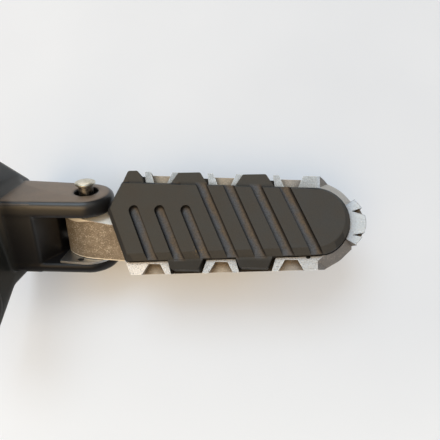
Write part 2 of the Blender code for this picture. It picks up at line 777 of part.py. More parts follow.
def hanger_plate():
    """Upright plate along Y and Z that carries the clevis at its lower edge."""
    corners = [
        (-0.0040, -0.0270, 0.0050),
        (0.0243, 0.0004, 0.0050),
        (0.0243, 0.0300, 0.0080),
        (0.0160, 0.0620, 0.0090),
        (-0.0060, 0.0620, 0.0090),
        (-0.0190, 0.0400, 0.0120),
        (-0.0530, 0.0300, 0.0090),
        (-0.0530, 0.0070, 0.0070),
        (-0.0270, -0.0010, 0.0060),
    ]
    edge = 0.0015
    levels = [
        (PLATE_INNER_X, outline(corners, 0.0006)),
        (PLATE_INNER_X + 0.0006, outline(corners)),
        (PLATE_OUTER_X - edge, outline(corners)),
        (PLATE_OUTER_X - edge * 0.3, outline(corners, edge * 0.3)),
        (PLATE_OUTER_X, outline(corners, edge)),
    ]
    plate = loft("hanger_slab", levels)
    plate.data.transform(AXIS_X)
    return plate


def hanger_collars():
    for tag, at in zip(("front", "rear"), HANGER_HOLES):
        top = PLATE_OUTER_X + BOSS_PROUD
        collar = ring(f"hanger_collar_{tag}", COLLAR_RADIUS, COLLAR_BORE, PLATE_INNER_X, top, ZINC, at)
        collar.data.transform(AXIS_X)
        collar.modifiers[0].object.data.transform(AXIS_X)


def detent_plate():
    """Thin steel plate on the lower ear, square at the inner end, with the ball's two holes."""
    low, high = DETENT_PLATE
    radius = EAR_RADIUS - 0.0003
    front_y = CLEVIS_FRONT - 0.0015
    last = math.asin((front_y - EAR_SHIFT) / radius)
    corners = []
    steps = 16
    for i in range(steps + 1):
        angle = -math.pi / 2 + (last + math.pi / 2) * i / steps
        corners.append((radius * math.cos(angle), EAR_SHIFT + radius * math.sin(angle), 0.0))
    corners.append((-0.0112, front_y, 0.0006))
    corners.append((-0.0112, EAR_SHIFT - radius, 0.0006))
    plate = prism("detent_plate", corners, low, high, PLATED)
    cut(plate, disc("plate_pin_hole", PIN_HOLE_RADIUS, low - 0.001, high + 0.001))
    cut(plate, disc("plate_rivet_hole", RIVET_RADIUS + FINE_GAP, low - 0.001, high + 0.001, RIVET_XY))
    for i, angle in enumerate((DETENT_ANGLE, DETENT_ANGLE + FOLD_ANGLE)):
        at = (DETENT_RADIUS * math.cos(angle), -DETENT_RADIUS * math.sin(angle))
        cut(plate, disc(f"detent_hole_{i}", 0.0015, low - 0.001, high + 0.001, at))
    return placed(plate)


def placed(made):
    """Moves a piece and all its cutters from the pin frame to the peg's frame."""
    to_pin_frame(made)
    for step in made.modifiers:
        to_pin_frame(step.object)
    return made


def plate_rivet():
    low = LOWER_EAR[0]
    profile = [
        (0.0012, low - 0.0014),
        (0.0024, low - 0.0009),
        (0.0026, low - FINE_GAP),
        (RIVET_RADIUS, low - FINE_GAP),
        (RIVET_RADIUS, DETENT_PLATE[1]),
    ]
    return to_pin_frame(turned("plate_rivet", profile, PLATED, RIVET_XY))


def clevis_pin():
    head = PIN_HEAD_RADIUS
    under = PIN_HEAD_UNDER
    groove = CLIP_THICK / 2 + FINE_GAP
    profile = [
        (PIN_RADIUS - 0.0005, PIN_END),
        (PIN_RADIUS, PIN_END + 0.0005),
        (PIN_RADIUS, CLIP_Z - groove),
        (CLIP_GROOVE_RADIUS, CLIP_Z - groove),
        (CLIP_GROOVE_RADIUS, CLIP_Z + groove),
        (PIN_RADIUS, CLIP_Z + groove),
        (PIN_RADIUS, under),
        (head - 0.0002, under),
        (head, under + 0.0002),
        (head, under + 0.0008),
        (head - 0.0004, under + 0.0011),
        (head - 0.0016, under + 0.0014),
        (head - 0.0032, under + 0.0015),
    ]
    return placed(turned("clevis_pin", profile, ZINC))


def pin_washer():
    high = LOWER_EAR[0] - FINE_GAP
    return placed(ring("pin_washer", 0.0054, PIN_RADIUS + 2 * FINE_GAP, high - 0.0007, high, ZINC))


def retaining_clip():
    """E-shaped clip in the pin's groove, with three inner fingers and an open side."""
    high = CLIP_Z + CLIP_THICK / 2
    low = CLIP_Z - CLIP_THICK / 2
    clip = disc("retaining_clip", 0.0050, low, high, look=STEEL)
    cut(clip, disc("clip_inner", CLIP_GROOVE_RADIUS + FINE_GAP, low - 0.001, high + 0.001))
    mouth = [(0.0, -0.0022, 0.0), (0.008, -0.0022, 0.0), (0.008, 0.0022, 0.0), (0.0, 0.0022, 0.0)]
    cut(clip, prism("clip_mouth", mouth, low - 0.001, high + 0.001))
    for i, angle in enumerate((math.radians(120), math.radians(240))):
        at = (0.0031 * math.cos(angle), 0.0031 * math.sin(angle))
        cut(clip, disc(f"clip_relief_{i}", 0.0010, low - 0.001, high + 0.001, at, sides=16))
    return placed(clip)


def bush(name, low, high):
    return placed(ring(name, BUSH_OUTER, BUSH_INNER, low, high, BRONZE))


def detent_ball():
    profile = []
    steps = 12
    for i in range(steps + 1):
        angle = math.radians(-84 + 168 * i / steps)
        profile.append((BALL_RADIUS * math.cos(angle), BALL_RADIUS * math.sin(angle)))
    ball = turned("detent_ball", profile, STEEL, sides=24)
    at = (DETENT_RADIUS * math.cos(DETENT_ANGLE), -DETENT_RADIUS * math.sin(DETENT_ANGLE), BALL_Z)
    ball.data.transform(PIN_FRAME.to_3x3().to_4x4())
    ball.location = PIN_FRAME @ Vector(at)
    return ball


def detent_spring():
    turns = 5
    per_turn = 14
    low = BALL_Z + BALL_RADIUS + 0.0010
    rise = BALL_POCKET_END - GAP - 0.0003 - low
    centre = Vector((DETENT_RADIUS * math.cos(DETENT_ANGLE), -DETENT_RADIUS * math.sin(DETENT_ANGLE), low))
    path = []
    for i in range(turns * per_turn + 1):
        angle = 2 * math.pi * i / per_turn
        height = rise * i / (turns * per_turn)
        path.append(centre + Vector((0.0016 * math.cos(angle), 0.0016 * math.sin(angle), height)))
    return placed(tube("detent_spring", path, 0.00025, 6, STEEL, Vector((1, 0, 0))))


def finish():
    """Stands every piece and cutter at the eye's place, and smooths faces with their edges kept sharp."""
    for made in list(PARTS.objects) + list(CUTTERS.objects):
        made.location += Vector(EYE_AT)
    for made in PARTS.objects:
        made.data.shade_smooth()
        made.data.set_sharp_from_angle(angle=math.radians(32))


for leftover in list(bpy.data.objects):
    bpy.data.objects.remove(leftover)

PARTS = collection("motorcycle_foot_peg")
CUTTERS = collection("cutters")
AXIS_X = Matrix(((0, 0, 1, 0), (1, 0, 0, 0), (0, 1, 0, 0), (0, 0, 0, 1)))

PAINT = material("gloss_black_paint", (0.03, 0.03, 0.032), 0.25, 0.0)
CAST = material("cast_aluminium", (0.62, 0.60, 0.56), 0.55, 0.9)
RUBBER = material("tread_rubber", (0.07, 0.066, 0.06), 0.75, 0.0)
ZINC = material("zinc_plated_steel", (0.70, 0.69, 0.62), 0.35, 1.0)
PLATED = material("bright_plated_steel", (0.66, 0.65, 0.62), 0.30, 1.0)
STEEL = material("plain_steel", (0.50, 0.50, 0.50), 0.40, 1.0)
BRONZE = material("sintered_bronze", (0.55, 0.38, 0.18), 0.50, 1.0)

hanger_bracket()
hanger_collars()
detent_plate()
plate_rivet()
clevis_pin()
pin_washer()
retaining_clip()
peg_body()
bush("upper_bush", FINE_GAP * 3, EYE_HALF)
bush("lower_bush", -EYE_HALF, -FINE_GAP * 3)
detent_ball()
detent_spring()
rubber_pad()
backing_plate()
pad_fixing("inner", SCREW_XS[0])
pad_fixing("outer", SCREW_XS[1])
finish()
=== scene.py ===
"""Looks of the folding motorcycle foot peg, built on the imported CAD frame. Metres, +Z up."""

import json
import math

import bpy
from mathutils import Matrix, Vector


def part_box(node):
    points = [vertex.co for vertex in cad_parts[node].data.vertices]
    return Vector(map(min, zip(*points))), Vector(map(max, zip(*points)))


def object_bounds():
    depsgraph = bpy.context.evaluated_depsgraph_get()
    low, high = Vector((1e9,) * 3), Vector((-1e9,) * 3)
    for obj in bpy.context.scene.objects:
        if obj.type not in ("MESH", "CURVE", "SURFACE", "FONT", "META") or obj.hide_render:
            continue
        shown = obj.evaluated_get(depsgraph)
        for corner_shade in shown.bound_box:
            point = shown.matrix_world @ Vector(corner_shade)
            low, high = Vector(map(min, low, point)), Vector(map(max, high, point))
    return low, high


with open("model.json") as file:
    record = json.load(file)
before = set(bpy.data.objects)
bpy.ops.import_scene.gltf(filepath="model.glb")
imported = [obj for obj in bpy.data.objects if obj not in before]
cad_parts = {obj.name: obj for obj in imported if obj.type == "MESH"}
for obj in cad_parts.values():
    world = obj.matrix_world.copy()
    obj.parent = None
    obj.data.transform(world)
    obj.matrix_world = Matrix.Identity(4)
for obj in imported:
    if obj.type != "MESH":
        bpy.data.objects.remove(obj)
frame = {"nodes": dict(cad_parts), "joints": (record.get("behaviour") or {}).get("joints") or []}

CAD_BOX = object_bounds()

MM = 0.001

# The frame's directions.
OUTBOARD = (1.0, 0.0, 0.0)
FORWARD = (0.0, 1.0, 0.0)
UP = (0.0, 0.0, 1.0)

# The hinge: the middle of the peg's eye, and the pin's axis pointing up out of it. Levels run along
# that axis.
HINGE = next(joint for joint in frame["joints"] if joint["name"] == "peg_fold")
EYE = Vector(HINGE["pos_m"])
PIN_AXIS = -Vector(HINGE["axis"]).normalized()
EYE_LEVEL = EYE.dot(PIN_AXIS)
EYE_HALF = 0.0106
EYE_END_X = EYE.x + 0.018
EAR_LEVEL = EYE_LEVEL + 0.012
HEAD_UNDER_LEVEL = EYE_LEVEL + 0.0217
HANGER_ROOT_X = EYE.x - 0.033

# The tread: the pad's top and outline, its leaned grooves, and the cast body's levels.
PAD_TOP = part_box("rubber_pad")[1].z
PAD_HALF = 0.0185
PAD_TAPER = 0.046
PAD_REAR_TABS_Y = EYE.y - 0.01575
GROOVE_X = EYE.x + 0.0271
GROOVE_PITCH = 0.01125
GROOVE_LEAN = math.radians(25)
GROOVE_HALF = 0.00215
DECK_TOP = EYE.z + 0.0066
TOOTH_TOP = EYE.z + 0.0113
FIRST_TOOTH_X = EYE.x + 0.040
CORNERS_X = EYE.x + 0.088
CRESCENT_X = EYE.x + 0.1025
CRESCENT_MIDDLE_X = EYE.x + 0.1135
CRUMBS_AT = EYE + Vector((0.0545, -0.0128, 0.0145))

# Where looks fade into each other: from the first place, or level, to the second.
RUBBER_FADE = (EYE.x + 0.010, EYE.x + 0.110)
SPECKS_FADE = (EYE.x + 0.010, EYE.x + 0.022)
SHEEN_FADE = (EYE_LEVEL - 0.010, EYE_LEVEL + 0.008)
FLOOR_REAR_FADE = (EYE.y - 0.090, EYE.y - 0.030)
FLOOR_INBOARD_FADE = (EYE.x - 0.050, EYE.x + 0.110)
SHADE_HANGER_FADE = (EYE.x - 0.035, EYE.x)
SHADE_END_FADE = (EYE.x + 0.095, EYE.x + 0.060)
SHADE_REAR_FADE = (EYE.y - 0.036, EYE.y - 0.012)
SHADE_FRONT_FADE = (EYE.y + 0.040, EYE.y + 0.010)

# The painted highlight band under the eye's top edge is widest to the hanger's side and narrows
# outboard.
BAND_HIGHLIGHT_TAPER = (EYE.x - 0.002, EYE.x + 0.014)
BAND_HIGHLIGHT_INBOARD = 3.6 * MM
BAND_HIGHLIGHT_OUTBOARD = 0.6 * MM

# Colours of the rubber, in linear red, green and blue as all the colours are.
RUBBER_INBOARD = (0.054, 0.050, 0.042)
RUBBER_OUTBOARD = (0.045, 0.047, 0.048)
RUBBER_CLOUD = (0.070, 0.060, 0.050)
RUBBER_PORE = (0.020, 0.018, 0.015)
RUBBER_TAB = (0.016, 0.014, 0.011)
# Painted shade for the rubber's corners and creases.
RUBBER_CORNER_SHADE = (0.010, 0.009, 0.008)
# Dust on the groove floors; the cool inboard one is dust with a painted sky reflection.
GROOVE_DUST_AND_SKY_REFLECTION = (0.085, 0.094, 0.114)
GROOVE_DUST_WARM = (0.128, 0.096, 0.066)
# Painted shade on the groove walls, and on the floor by their outboard wall.
GROOVE_WALL_SHADE = (0.007, 0.008, 0.011)
GROOVE_SHADE = (0.018, 0.011, 0.007)
CRUMBS = (0.20, 0.135, 0.065)

# Colours of the cast aluminium.
CAST_DULL = (0.29, 0.240, 0.182)
CAST_LIGHT = (0.37, 0.310, 0.240)
CAST_PIT = (0.16, 0.13, 0.10)
# Painted shade on the cast's forward-facing faces.
CAST_FRONT_SHADE = (0.14, 0.135, 0.135)
CAST_END = (0.215, 0.222, 0.240)
CAST_SPECK = (0.95, 0.87, 0.74)
TOOTH_FRONT = (0.27, 0.268, 0.262)
TOOTH_REAR = (0.41, 0.405, 0.40)
TOOTH_FIRST = (0.74, 0.65, 0.56)
TOOTH_PATCH = (0.62, 0.61, 0.60)
TOOTH_PIT = (0.20, 0.195, 0.19)
# Painted glints on the dressed tops.
TOOTH_GLINT = (0.86, 0.86, 0.85)
# The crescent's painted shade by the pad, and its lit colour.
CRESCENT_SHADE = (0.22, 0.26, 0.33)
CRESCENT_SHINE = (0.42, 0.435, 0.45)
# A painted shade line on the crescent's edges.
CRESCENT_EDGE_SHADE = (0.05, 0.05, 0.06)
# Painted highlight along convex edges.
EDGE_HIGHLIGHT = (0.85, 0.81, 0.75)
# Painted shade in the cast's corners.
CORNER_SHADE = (0.13, 0.105, 0.08)
# Painted shade on the upward faces at the deck's level.
DECK_SHADE = (0.022, 0.019, 0.016)
# Painted highlight on the eye's top face.
EYE_FACE_HIGHLIGHT = (1.0, 0.97, 0.91)
# Painted highlight bands round the eye's side.
EYE_BAND_HIGHLIGHT = (1.0, 0.92, 0.78)

# Colours of the paint, the pin, the bushes and the plated steels.
PAINT = (0.010, 0.010, 0.011)
# A painted grey-green reflection on the hanger.
HANGER_REFLECTION = (0.036, 0.038, 0.032)
# Road dust with a painted reflection on the upper ear's top face.
ROAD_DUST_AND_REFLECTION = (0.240, 0.172, 0.122)
PIN_HEAD_LIGHT = (0.66, 0.64, 0.57)
PIN_HEAD_DULL = (0.50, 0.47, 0.37)
# The shank's colours, darker than the head's.
PIN_SHANK_DARK = (0.13, 0.122, 0.112)
PIN_SHANK_LIGHT = (0.32, 0.30, 0.27)
# Painted shade in the pin's corners.
PIN_CORNER_SHADE = (0.05, 0.045, 0.04)
BRONZE_PORE = (0.18, 0.11, 0.05)
BRONZE = (0.60, 0.40, 0.19)
# Painted highlight for the plated steels' edges.
STEEL_EDGE_HIGHLIGHT = (0.88, 0.87, 0.83)
ZINC = (0.72, 0.70, 0.64)
ZINC_YELLOW = (0.66, 0.60, 0.48)
BRIGHT_PLATE = (0.56, 0.57, 0.58)
BRIGHT_PLATE_GREY = (0.46, 0.47, 0.48)
PLAIN_STEEL = (0.50, 0.50, 0.50)
PLAIN_STEEL_BROWN = (0.42, 0.40, 0.38)

# The studio: the floor, painted lighter to the rear and inboard, and its faint painted glow, in the
# peg's shade and beyond it, and what surrounds it.
FLOOR_Z = CAD_BOX[0].z - 0.5 * MM
FLOOR_REACH = 6.0
FLOOR_DARK = (0.47, 0.49, 0.53)
FLOOR_PALE = (0.52, 0.54, 0.58)
# Painted light: the floor lighter to the rear and inboard.
FLOOR_REAR_LIGHT = (0.76, 0.78, 0.80)
FLOOR_INBOARD_LIGHT = (0.76, 0.77, 0.79)
# Painted light: the floor's glow, tan as a painted shadow where the peg's shadow falls, cool elsewhere.
GLOW_SHADE = (0.70, 0.46, 0.14)
GLOW_PLAIN = (0.78, 0.88, 1.0)
WARM_WALL = Vector((-0.10, -0.54, 0.83))
WARM_WALL_GLOW = (2.10, 1.44, 0.74)
ROOM_HORIZON = (0.02, 0.02, 0.02)
ROOM_CEILING = (0.22, 0.22, 0.215)
BACKDROP = (0.80, 0.81, 0.82)

# The camera, at the viewing angle of a person looking down at the peg.
CAMERA_AT = EYE + Vector((0.09028, -0.0457, 0.18594))
CAMERA_BACK = Vector((0.156, -0.2539, 0.9546))
CAMERA_UP = Vector((0.0, 0.9664, 0.2570))
CAMERA_LENS = 36.0
CAMERA_SENSOR = 36.0


class Nodes:
    """A node tree under construction: each method adds one node and returns its output."""

    def __init__(self, tree, coordinates):
        self.tree = tree
        self.place = self.add("ShaderNodeTexCoord").outputs[coordinates]

    def add(self, kind):
        return self.tree.nodes.new(kind)

    def link(self, source, target):
        """Feeds a socket from another node's output or with a plain value."""
        if isinstance(source, bpy.types.NodeSocket):
            self.tree.links.new(source, target)
        elif isinstance(source, tuple) and len(source) == 3 and target.type == "RGBA":
            target.default_value = (*source, 1.0)
        else:
            target.default_value = source

    def noise(self, size, detail=2.0, roughness=0.5, stretch=None):
        """Cloudy noise from 0 to 1 with features about size across."""
        node = self.add("ShaderNodeTexNoise")
        node.inputs["Scale"].default_value = 1.0 / size
        node.inputs["Detail"].default_value = detail
        node.inputs["Roughness"].default_value = roughness
        vector = self.place
        if stretch:
            mapping = self.add("ShaderNodeMapping")
            self.link(self.place, mapping.inputs["Vector"])
            mapping.inputs["Scale"].default_value = stretch
            vector = mapping.outputs[0]
        self.link(vector, node.inputs["Vector"])
        return node.outputs["Fac"]

    def cells(self, size):
        """Distance to the nearest of many scattered points, 0 at a point."""
        node = self.add("ShaderNodeTexVoronoi")
        node.inputs["Scale"].default_value = 1.0 / size
        self.link(self.place, node.inputs["Vector"])
        return node.outputs["Distance"]

    def span(self, value, low, high, to_low=0.0, to_high=1.0):
        """Maps low..high to to_low..to_high, and holds the ends."""
        node = self.add("ShaderNodeMapRange")
        self.link(value, node.inputs["Value"])
        node.inputs["From Min"].default_value = low
        node.inputs["From Max"].default_value = high
        node.inputs["To Min"].default_value = to_low
        node.inputs["To Max"].default_value = to_high
        return node.outputs["Result"]

    def around(self, value, middle, half, to_low=0.0, to_high=1.0):
        """Maps middle - half..middle + half to to_low..to_high, and holds the ends."""
        return self.span(value, middle - half, middle + half, to_low, to_high)

    def math(self, operation, *values):
        node = self.add("ShaderNodeMath")
        node.operation = operation
        for value, socket in zip(values, node.inputs):
            self.link(value, socket)
        return node.outputs[0]

    def product(self, *values):
        result = values[0]
        for value in values[1:]:
            result = self.math("MULTIPLY", result, value)
        return result

    def away(self, value, middle):
        """How far a value is from the middle, either side."""
        return self.math("ABSOLUTE", self.math("SUBTRACT", value, middle))

    def mix(self, factor, a, b):
        """Colour a where factor is 0, and b where it is 1."""
        node = self.add("ShaderNodeMix")
        node.data_type = "RGBA"
        self.link(factor, node.inputs[0])
        self.link(a, node.inputs[6])
        self.link(b, node.inputs[7])
        return node.outputs[2]

    def layer(self, base, colour, mask, strength):
        """Lays a colour over base where mask is 1, as strongly as strength says."""
        return self.mix(self.product(mask, strength), base, colour)

    def along(self, vector, direction):
        """How far a vector reaches in a direction."""
        node = self.add("ShaderNodeVectorMath")
        node.operation = "DOT_PRODUCT"
        self.link(vector, node.inputs[0])
        node.inputs[1].default_value = direction
        return node.outputs["Value"]


class Shading(Nodes):
    """A material of nodes, in the object's own metres."""

    def __init__(self, name):
        self.material = bpy.data.materials.new(name)
        self.material.use_nodes = True
        super().__init__(self.material.node_tree, "Object")
        self.shader = self.tree.nodes["Principled BSDF"]
        turn = self.add("ShaderNodeVectorTransform")
        turn.vector_type = "NORMAL"
        turn.convert_from = "WORLD"
        turn.convert_to = "OBJECT"
        self.link(self.add("ShaderNodeNewGeometry").outputs["Normal"], turn.inputs[0])
        self.normal = turn.outputs[0]
        self.x = self.along(self.place, OUTBOARD)
        self.y = self.along(self.place, FORWARD)
        self.z = self.along(self.place, UP)
        self.level = self.along(self.place, PIN_AXIS)
        self.upward = self.along(self.normal, UP)

    def near(self, point, radius):
        """1 at a point, falling to 0 at radius from it."""
        node = self.add("ShaderNodeVectorMath")
        node.operation = "DISTANCE"
        self.link(self.place, node.inputs[0])
        node.inputs[1].default_value = point
        return self.span(node.outputs["Value"], 0.0, radius, 1.0, 0.0)

    def crevice(self, reach):
        """0 in tight corners and 1 in the open."""
        node = self.add("ShaderNodeAmbientOcclusion")
        node.samples = 8
        node.inputs["Distance"].default_value = reach
        return node.outputs["AO"]

    def rounded_normal(self, radius, samples):
        """The face's direction, turned near edges as a rounding of this radius would turn it."""
        node = self.add("ShaderNodeBevel")
        node.samples = samples
        node.inputs["Radius"].default_value = radius
        return node.outputs[0]

    def edges(self, reach):
        """1 along convex edges and 0 on flat faces."""
        dot = self.add("ShaderNodeVectorMath")
        dot.operation = "DOT_PRODUCT"
        self.link(self.rounded_normal(reach, 4), dot.inputs[0])
        self.link(self.add("ShaderNodeNewGeometry").outputs["Normal"], dot.inputs[1])
        return self.span(dot.outputs["Value"], 0.80, 0.98, 1.0, 0.0)

    def round_edges(self, radius):
        """Shades edges and corners as if they were cast with this radius."""
        self.link(self.rounded_normal(radius, 8), self.shader.inputs["Normal"])

    def bump(self, height, depth, strength=1.0):
        """Raises the surface by height (0 to 1) times depth."""
        node = self.add("ShaderNodeBump")
        node.inputs["Distance"].default_value = depth
        node.inputs["Strength"].default_value = strength
        self.link(height, node.inputs["Height"])
        existing = self.shader.inputs["Normal"]
        if existing.is_linked:
            self.link(existing.links[0].from_socket, node.inputs["Normal"])
        self.link(node.outputs[0], existing)

    def set(self, **values):
        for name, value in values.items():
            self.link(value, self.shader.inputs[name.replace("_", " ")])
        return self.material


def groove_coordinate(s):
    """How far a place is from the middle line of its nearest leaned groove, outboard positive."""
    forward = s.math("SUBTRACT", s.y, EYE.y)
    lean = s.math("MULTIPLY", forward, math.tan(GROOVE_LEAN))
    slid = s.math("ADD", s.math("SUBTRACT", s.x, GROOVE_X), lean)
    square = s.math("MULTIPLY", slid, math.cos(GROOVE_LEAN))
    half_pitch = 0.5 * GROOVE_PITCH * math.cos(GROOVE_LEAN)
    return s.math("WRAP", square, half_pitch, -half_pitch)


def inside_pad(s):
    """1 within the pad's tapered outline and 0 on its side tabs."""
    taper = s.math("MULTIPLY", s.math("SUBTRACT", s.x, EYE.x), PAD_TAPER)
    width = s.math("ADD", s.away(s.y, EYE.y), taper)
    return s.span(width, PAD_HALF - 0.2 * MM, PAD_HALF + 1.0 * MM, 1.0, 0.0)


def inside_groove(s, across):
    """1 within the grooves, given how far across the nearest one a place is."""
    width = s.math("ABSOLUTE", across)
    within = s.span(width, GROOVE_HALF + 0.05 * MM, GROOVE_HALF + 0.15 * MM, 1.0, 0.0)
    below = s.span(s.z, PAD_TOP - 0.5 * MM, PAD_TOP - 0.1 * MM, 1.0, 0.0)
    return s.product(inside_pad(s), within, below)


def plain_rubber(s, clouds, grain):
    """The pad's own colour: browner inboard, cloudy and pored, and darker on the rear tabs."""
    base = s.mix(s.span(s.x, *RUBBER_FADE), RUBBER_INBOARD, RUBBER_OUTBOARD)
    base = s.mix(s.span(clouds, 0.35, 0.65, 0.0, 0.35), base, RUBBER_CLOUD)
    base = s.mix(s.span(grain, 0.30, 0.60, 0.25, 0.0), base, RUBBER_PORE)
    rear = s.around(s.y, PAD_REAR_TABS_Y, -0.75 * MM)
    on_tabs = s.span(inside_pad(s), 0.0, 1.0, 1.0, 0.0)
    return s.layer(base, RUBBER_TAB, s.product(rear, on_tabs), 0.6)


def grooves_dust_and_shade(s, base, clouds, grain):
    """Painted shade on the groove walls and on the floor by the outboard wall, and dust on the floors:
    cool inboard with a painted sky reflection, warm outboard.
    """
    across = groove_coordinate(s)
    groove = inside_groove(s, across)
    wall = s.product(groove, s.span(s.upward, 0.60, 0.92, 1.0, 0.0))
    floor = s.product(groove, s.span(s.upward, 0.85, 0.98))
    shaded = s.product(floor, s.span(across, GROOVE_HALF - 1.1 * MM, GROOVE_HALF - 0.35 * MM))
    ragged = s.span(clouds, 0.3, 0.7, -0.35, 0.35)
    side = s.math("ADD", s.span(across, -GROOVE_HALF, GROOVE_HALF), ragged)
    # Dust on the groove floors: cool inboard with a painted sky reflection, warm outboard.
    dust_and_reflection = s.mix(s.span(side, 0.30, 0.75), GROOVE_DUST_AND_SKY_REFLECTION, GROOVE_DUST_WARM)
    base = s.mix(s.product(floor, s.span(grain, 0.35, 0.62, 0.20, 0.95)), base, dust_and_reflection)
    # Painted shade on the groove walls and on the floor by their outboard wall.
    base = s.layer(base, GROOVE_WALL_SHADE, wall, 0.9)
    return s.layer(base, GROOVE_SHADE, shaded, 0.85)


def tread_rubber():
    """Matt brown-grey moulded rubber, dusty on its grooves' floors with a painted sky reflection there,
    with painted shade on their walls and in its corners.
    """
    s = Shading("look_tread_rubber")
    clouds = s.noise(9 * MM, 4.0, 0.6)
    grain = s.noise(0.45 * MM, 3.0, 0.7)
    base = grooves_dust_and_shade(s, plain_rubber(s, clouds, grain), clouds, grain)
    crumbs = s.product(s.near(CRUMBS_AT, 3.2 * MM), s.span(s.noise(0.8 * MM), 0.50, 0.58))
    base = s.layer(base, CRUMBS, crumbs, 0.8)
    # Painted shade in the rubber's corners and creases.
    base = s.mix(s.span(s.crevice(1.4 * MM), 0.50, 0.95), RUBBER_CORNER_SHADE, base)
    s.bump(grain, 0.05 * MM, 0.5)
    s.bump(s.noise(2.2 * MM), 0.05 * MM, 0.4)
    rough = s.span(clouds, 0.3, 0.7, 0.66, 0.82)
    return s.set(Base_Color=base, Roughness=rough, Specular_IOR_Level=0.30)


def as_cast(s, grain, coarse, patches):
    """The cast skin: warm and pitted, with painted shade on front faces, cooler at the end, speckled on
    the eye.
    """
    cast = s.mix(s.span(patches, 0.35, 0.65), CAST_DULL, CAST_LIGHT)
    cast = s.mix(s.span(grain, 0.42, 0.32), cast, CAST_PIT)
    # Painted shade on forward-facing faces.
    front = s.span(s.along(s.normal, FORWARD), 0.15, 0.55)
    cast = s.layer(cast, CAST_FRONT_SHADE, front, 0.75)
    cast = s.layer(cast, CAST_END, s.around(s.x, CORNERS_X, 10 * MM), 0.70)
    fine = s.noise(0.50 * MM, 3.0, 0.8)
    specks = s.product(s.span(coarse, 0.40, 0.58, 0.05, 1.0), s.span(fine, 0.54, 0.60))
    on_eye = s.span(s.x, *SPECKS_FADE, 0.95, 0.25)
    return s.mix(s.product(specks, on_eye), cast, CAST_SPECK)


def dressed(s, grain, patches, crescent):
    """The dressed tops: brighter to the rear, warm on its first tooth, with painted glints; on the
    crescent a painted shade by the pad gives way to its lit colour.
    """
    to_rear = s.around(s.y, EYE.y, -12 * MM)
    rear = s.mix(s.around(s.x, FIRST_TOOTH_X, -10 * MM), TOOTH_REAR, TOOTH_FIRST)
    base = s.mix(to_rear, TOOTH_FRONT, rear)
    # Painted shade on the crescent by the pad, giving way to its lit colour outboard.
    shine = s.around(s.x, CRESCENT_MIDDLE_X, 3.5 * MM)
    base = s.mix(crescent, base, s.mix(shine, CRESCENT_SHADE, CRESCENT_SHINE))
    base = s.mix(s.span(patches, 0.40, 0.60, 0.0, 0.25), base, TOOTH_PATCH)
    pits = s.product(s.span(grain, 0.48, 0.36), s.span(crescent, 0.0, 1.0, 1.0, 0.35))
    base = s.mix(pits, base, TOOTH_PIT)
    # Painted glints on the dressed tops.
    return s.mix(s.span(grain, 0.58, 0.68, 0.0, 0.5), base, TOOTH_GLINT)


def eye_highlight_bands(s):
    """1 on the painted highlight bands round the eye's side: one under its top face and a thin one at
    its foot.
    """
    width = s.span(s.x, *BAND_HIGHLIGHT_TAPER, BAND_HIGHLIGHT_INBOARD, BAND_HIGHLIGHT_OUTBOARD)
    above = s.math("SUBTRACT", s.math("ADD", s.level, width), EYE_LEVEL + EYE_HALF)
    upper = s.span(above, -0.1 * MM, 0.3 * MM)
    lower = s.around(s.level, EYE_LEVEL - EYE_HALF + 0.5 * MM, -0.1 * MM)
    on_eye = s.around(s.x, EYE_END_X, 2 * MM, 1.0, 0.0)
    return s.product(s.math("MAXIMUM", upper, lower), on_eye)


def cast_aluminium():
    """Grainy cast aluminium: dressed bright on the teeth and speckled on the eye, with painted shade in
    its corners and pockets and painted highlights on its edges and eye.
    """
    s = Shading("look_cast_aluminium")
    grain = s.noise(0.55 * MM, 4.0, 0.75)
    coarse = s.noise(2.2 * MM, 3.0, 0.65)
    patches = s.noise(6 * MM, 3.0, 0.6)
    crescent = s.around(s.x, CRESCENT_X, 1.5 * MM)
    at_top = s.span(s.z, TOOTH_TOP - 0.5 * MM, TOOTH_TOP - 0.2 * MM)
    top = s.product(at_top, s.span(s.upward, 0.80, 0.95))
    base = s.mix(top, as_cast(s, grain, coarse, patches), dressed(s, grain, patches, crescent))
    # Painted highlight along convex edges, and a painted shade line on the crescent's edges.
    edge = s.mix(crescent, EDGE_HIGHLIGHT, CRESCENT_EDGE_SHADE)
    edge_strength = s.span(crescent, 0.0, 1.0, 0.5, 0.95)
    base = s.mix(s.product(s.edges(0.40 * MM), edge_strength), base, edge)
    # Painted shade in the cast's corners and crevices.
    base = s.mix(s.span(s.crevice(3.5 * MM), 0.25, 0.95), CORNER_SHADE, base)
    # Painted highlight: the eye's top face under the upper ear, coloured near white and made less
    # metallic.
    above_eye = s.span(s.level, EYE_LEVEL + 5.0 * MM, EYE_LEVEL + 6.0 * MM)
    eye_face = s.product(s.span(s.along(s.normal, PIN_AXIS), 0.85, 0.97), above_eye)
    base = s.mix(eye_face, base, EYE_FACE_HIGHLIGHT)
    # Painted highlight bands round the eye's side.
    base = s.mix(eye_highlight_bands(s), base, EYE_BAND_HIGHLIGHT)
    # Painted shade on the upward faces at the deck's level.
    at_deck = s.span(s.away(s.z, DECK_TOP), 0.2 * MM, 0.4 * MM, 1.0, 0.0)
    deck = s.product(s.span(s.upward, 0.90, 0.98), at_deck)
    base = s.layer(base, DECK_SHADE, deck, 0.9)
    s.bump(grain, 0.14 * MM, 0.7)
    s.bump(coarse, 0.12 * MM, 0.4)
    metallic = s.span(eye_face, 0.0, 1.0, 0.85, 0.2)
    rough = s.span(top, 0.0, 1.0, 0.60, 0.44)
    return s.set(Base_Color=base, Metallic=metallic, Roughness=rough)


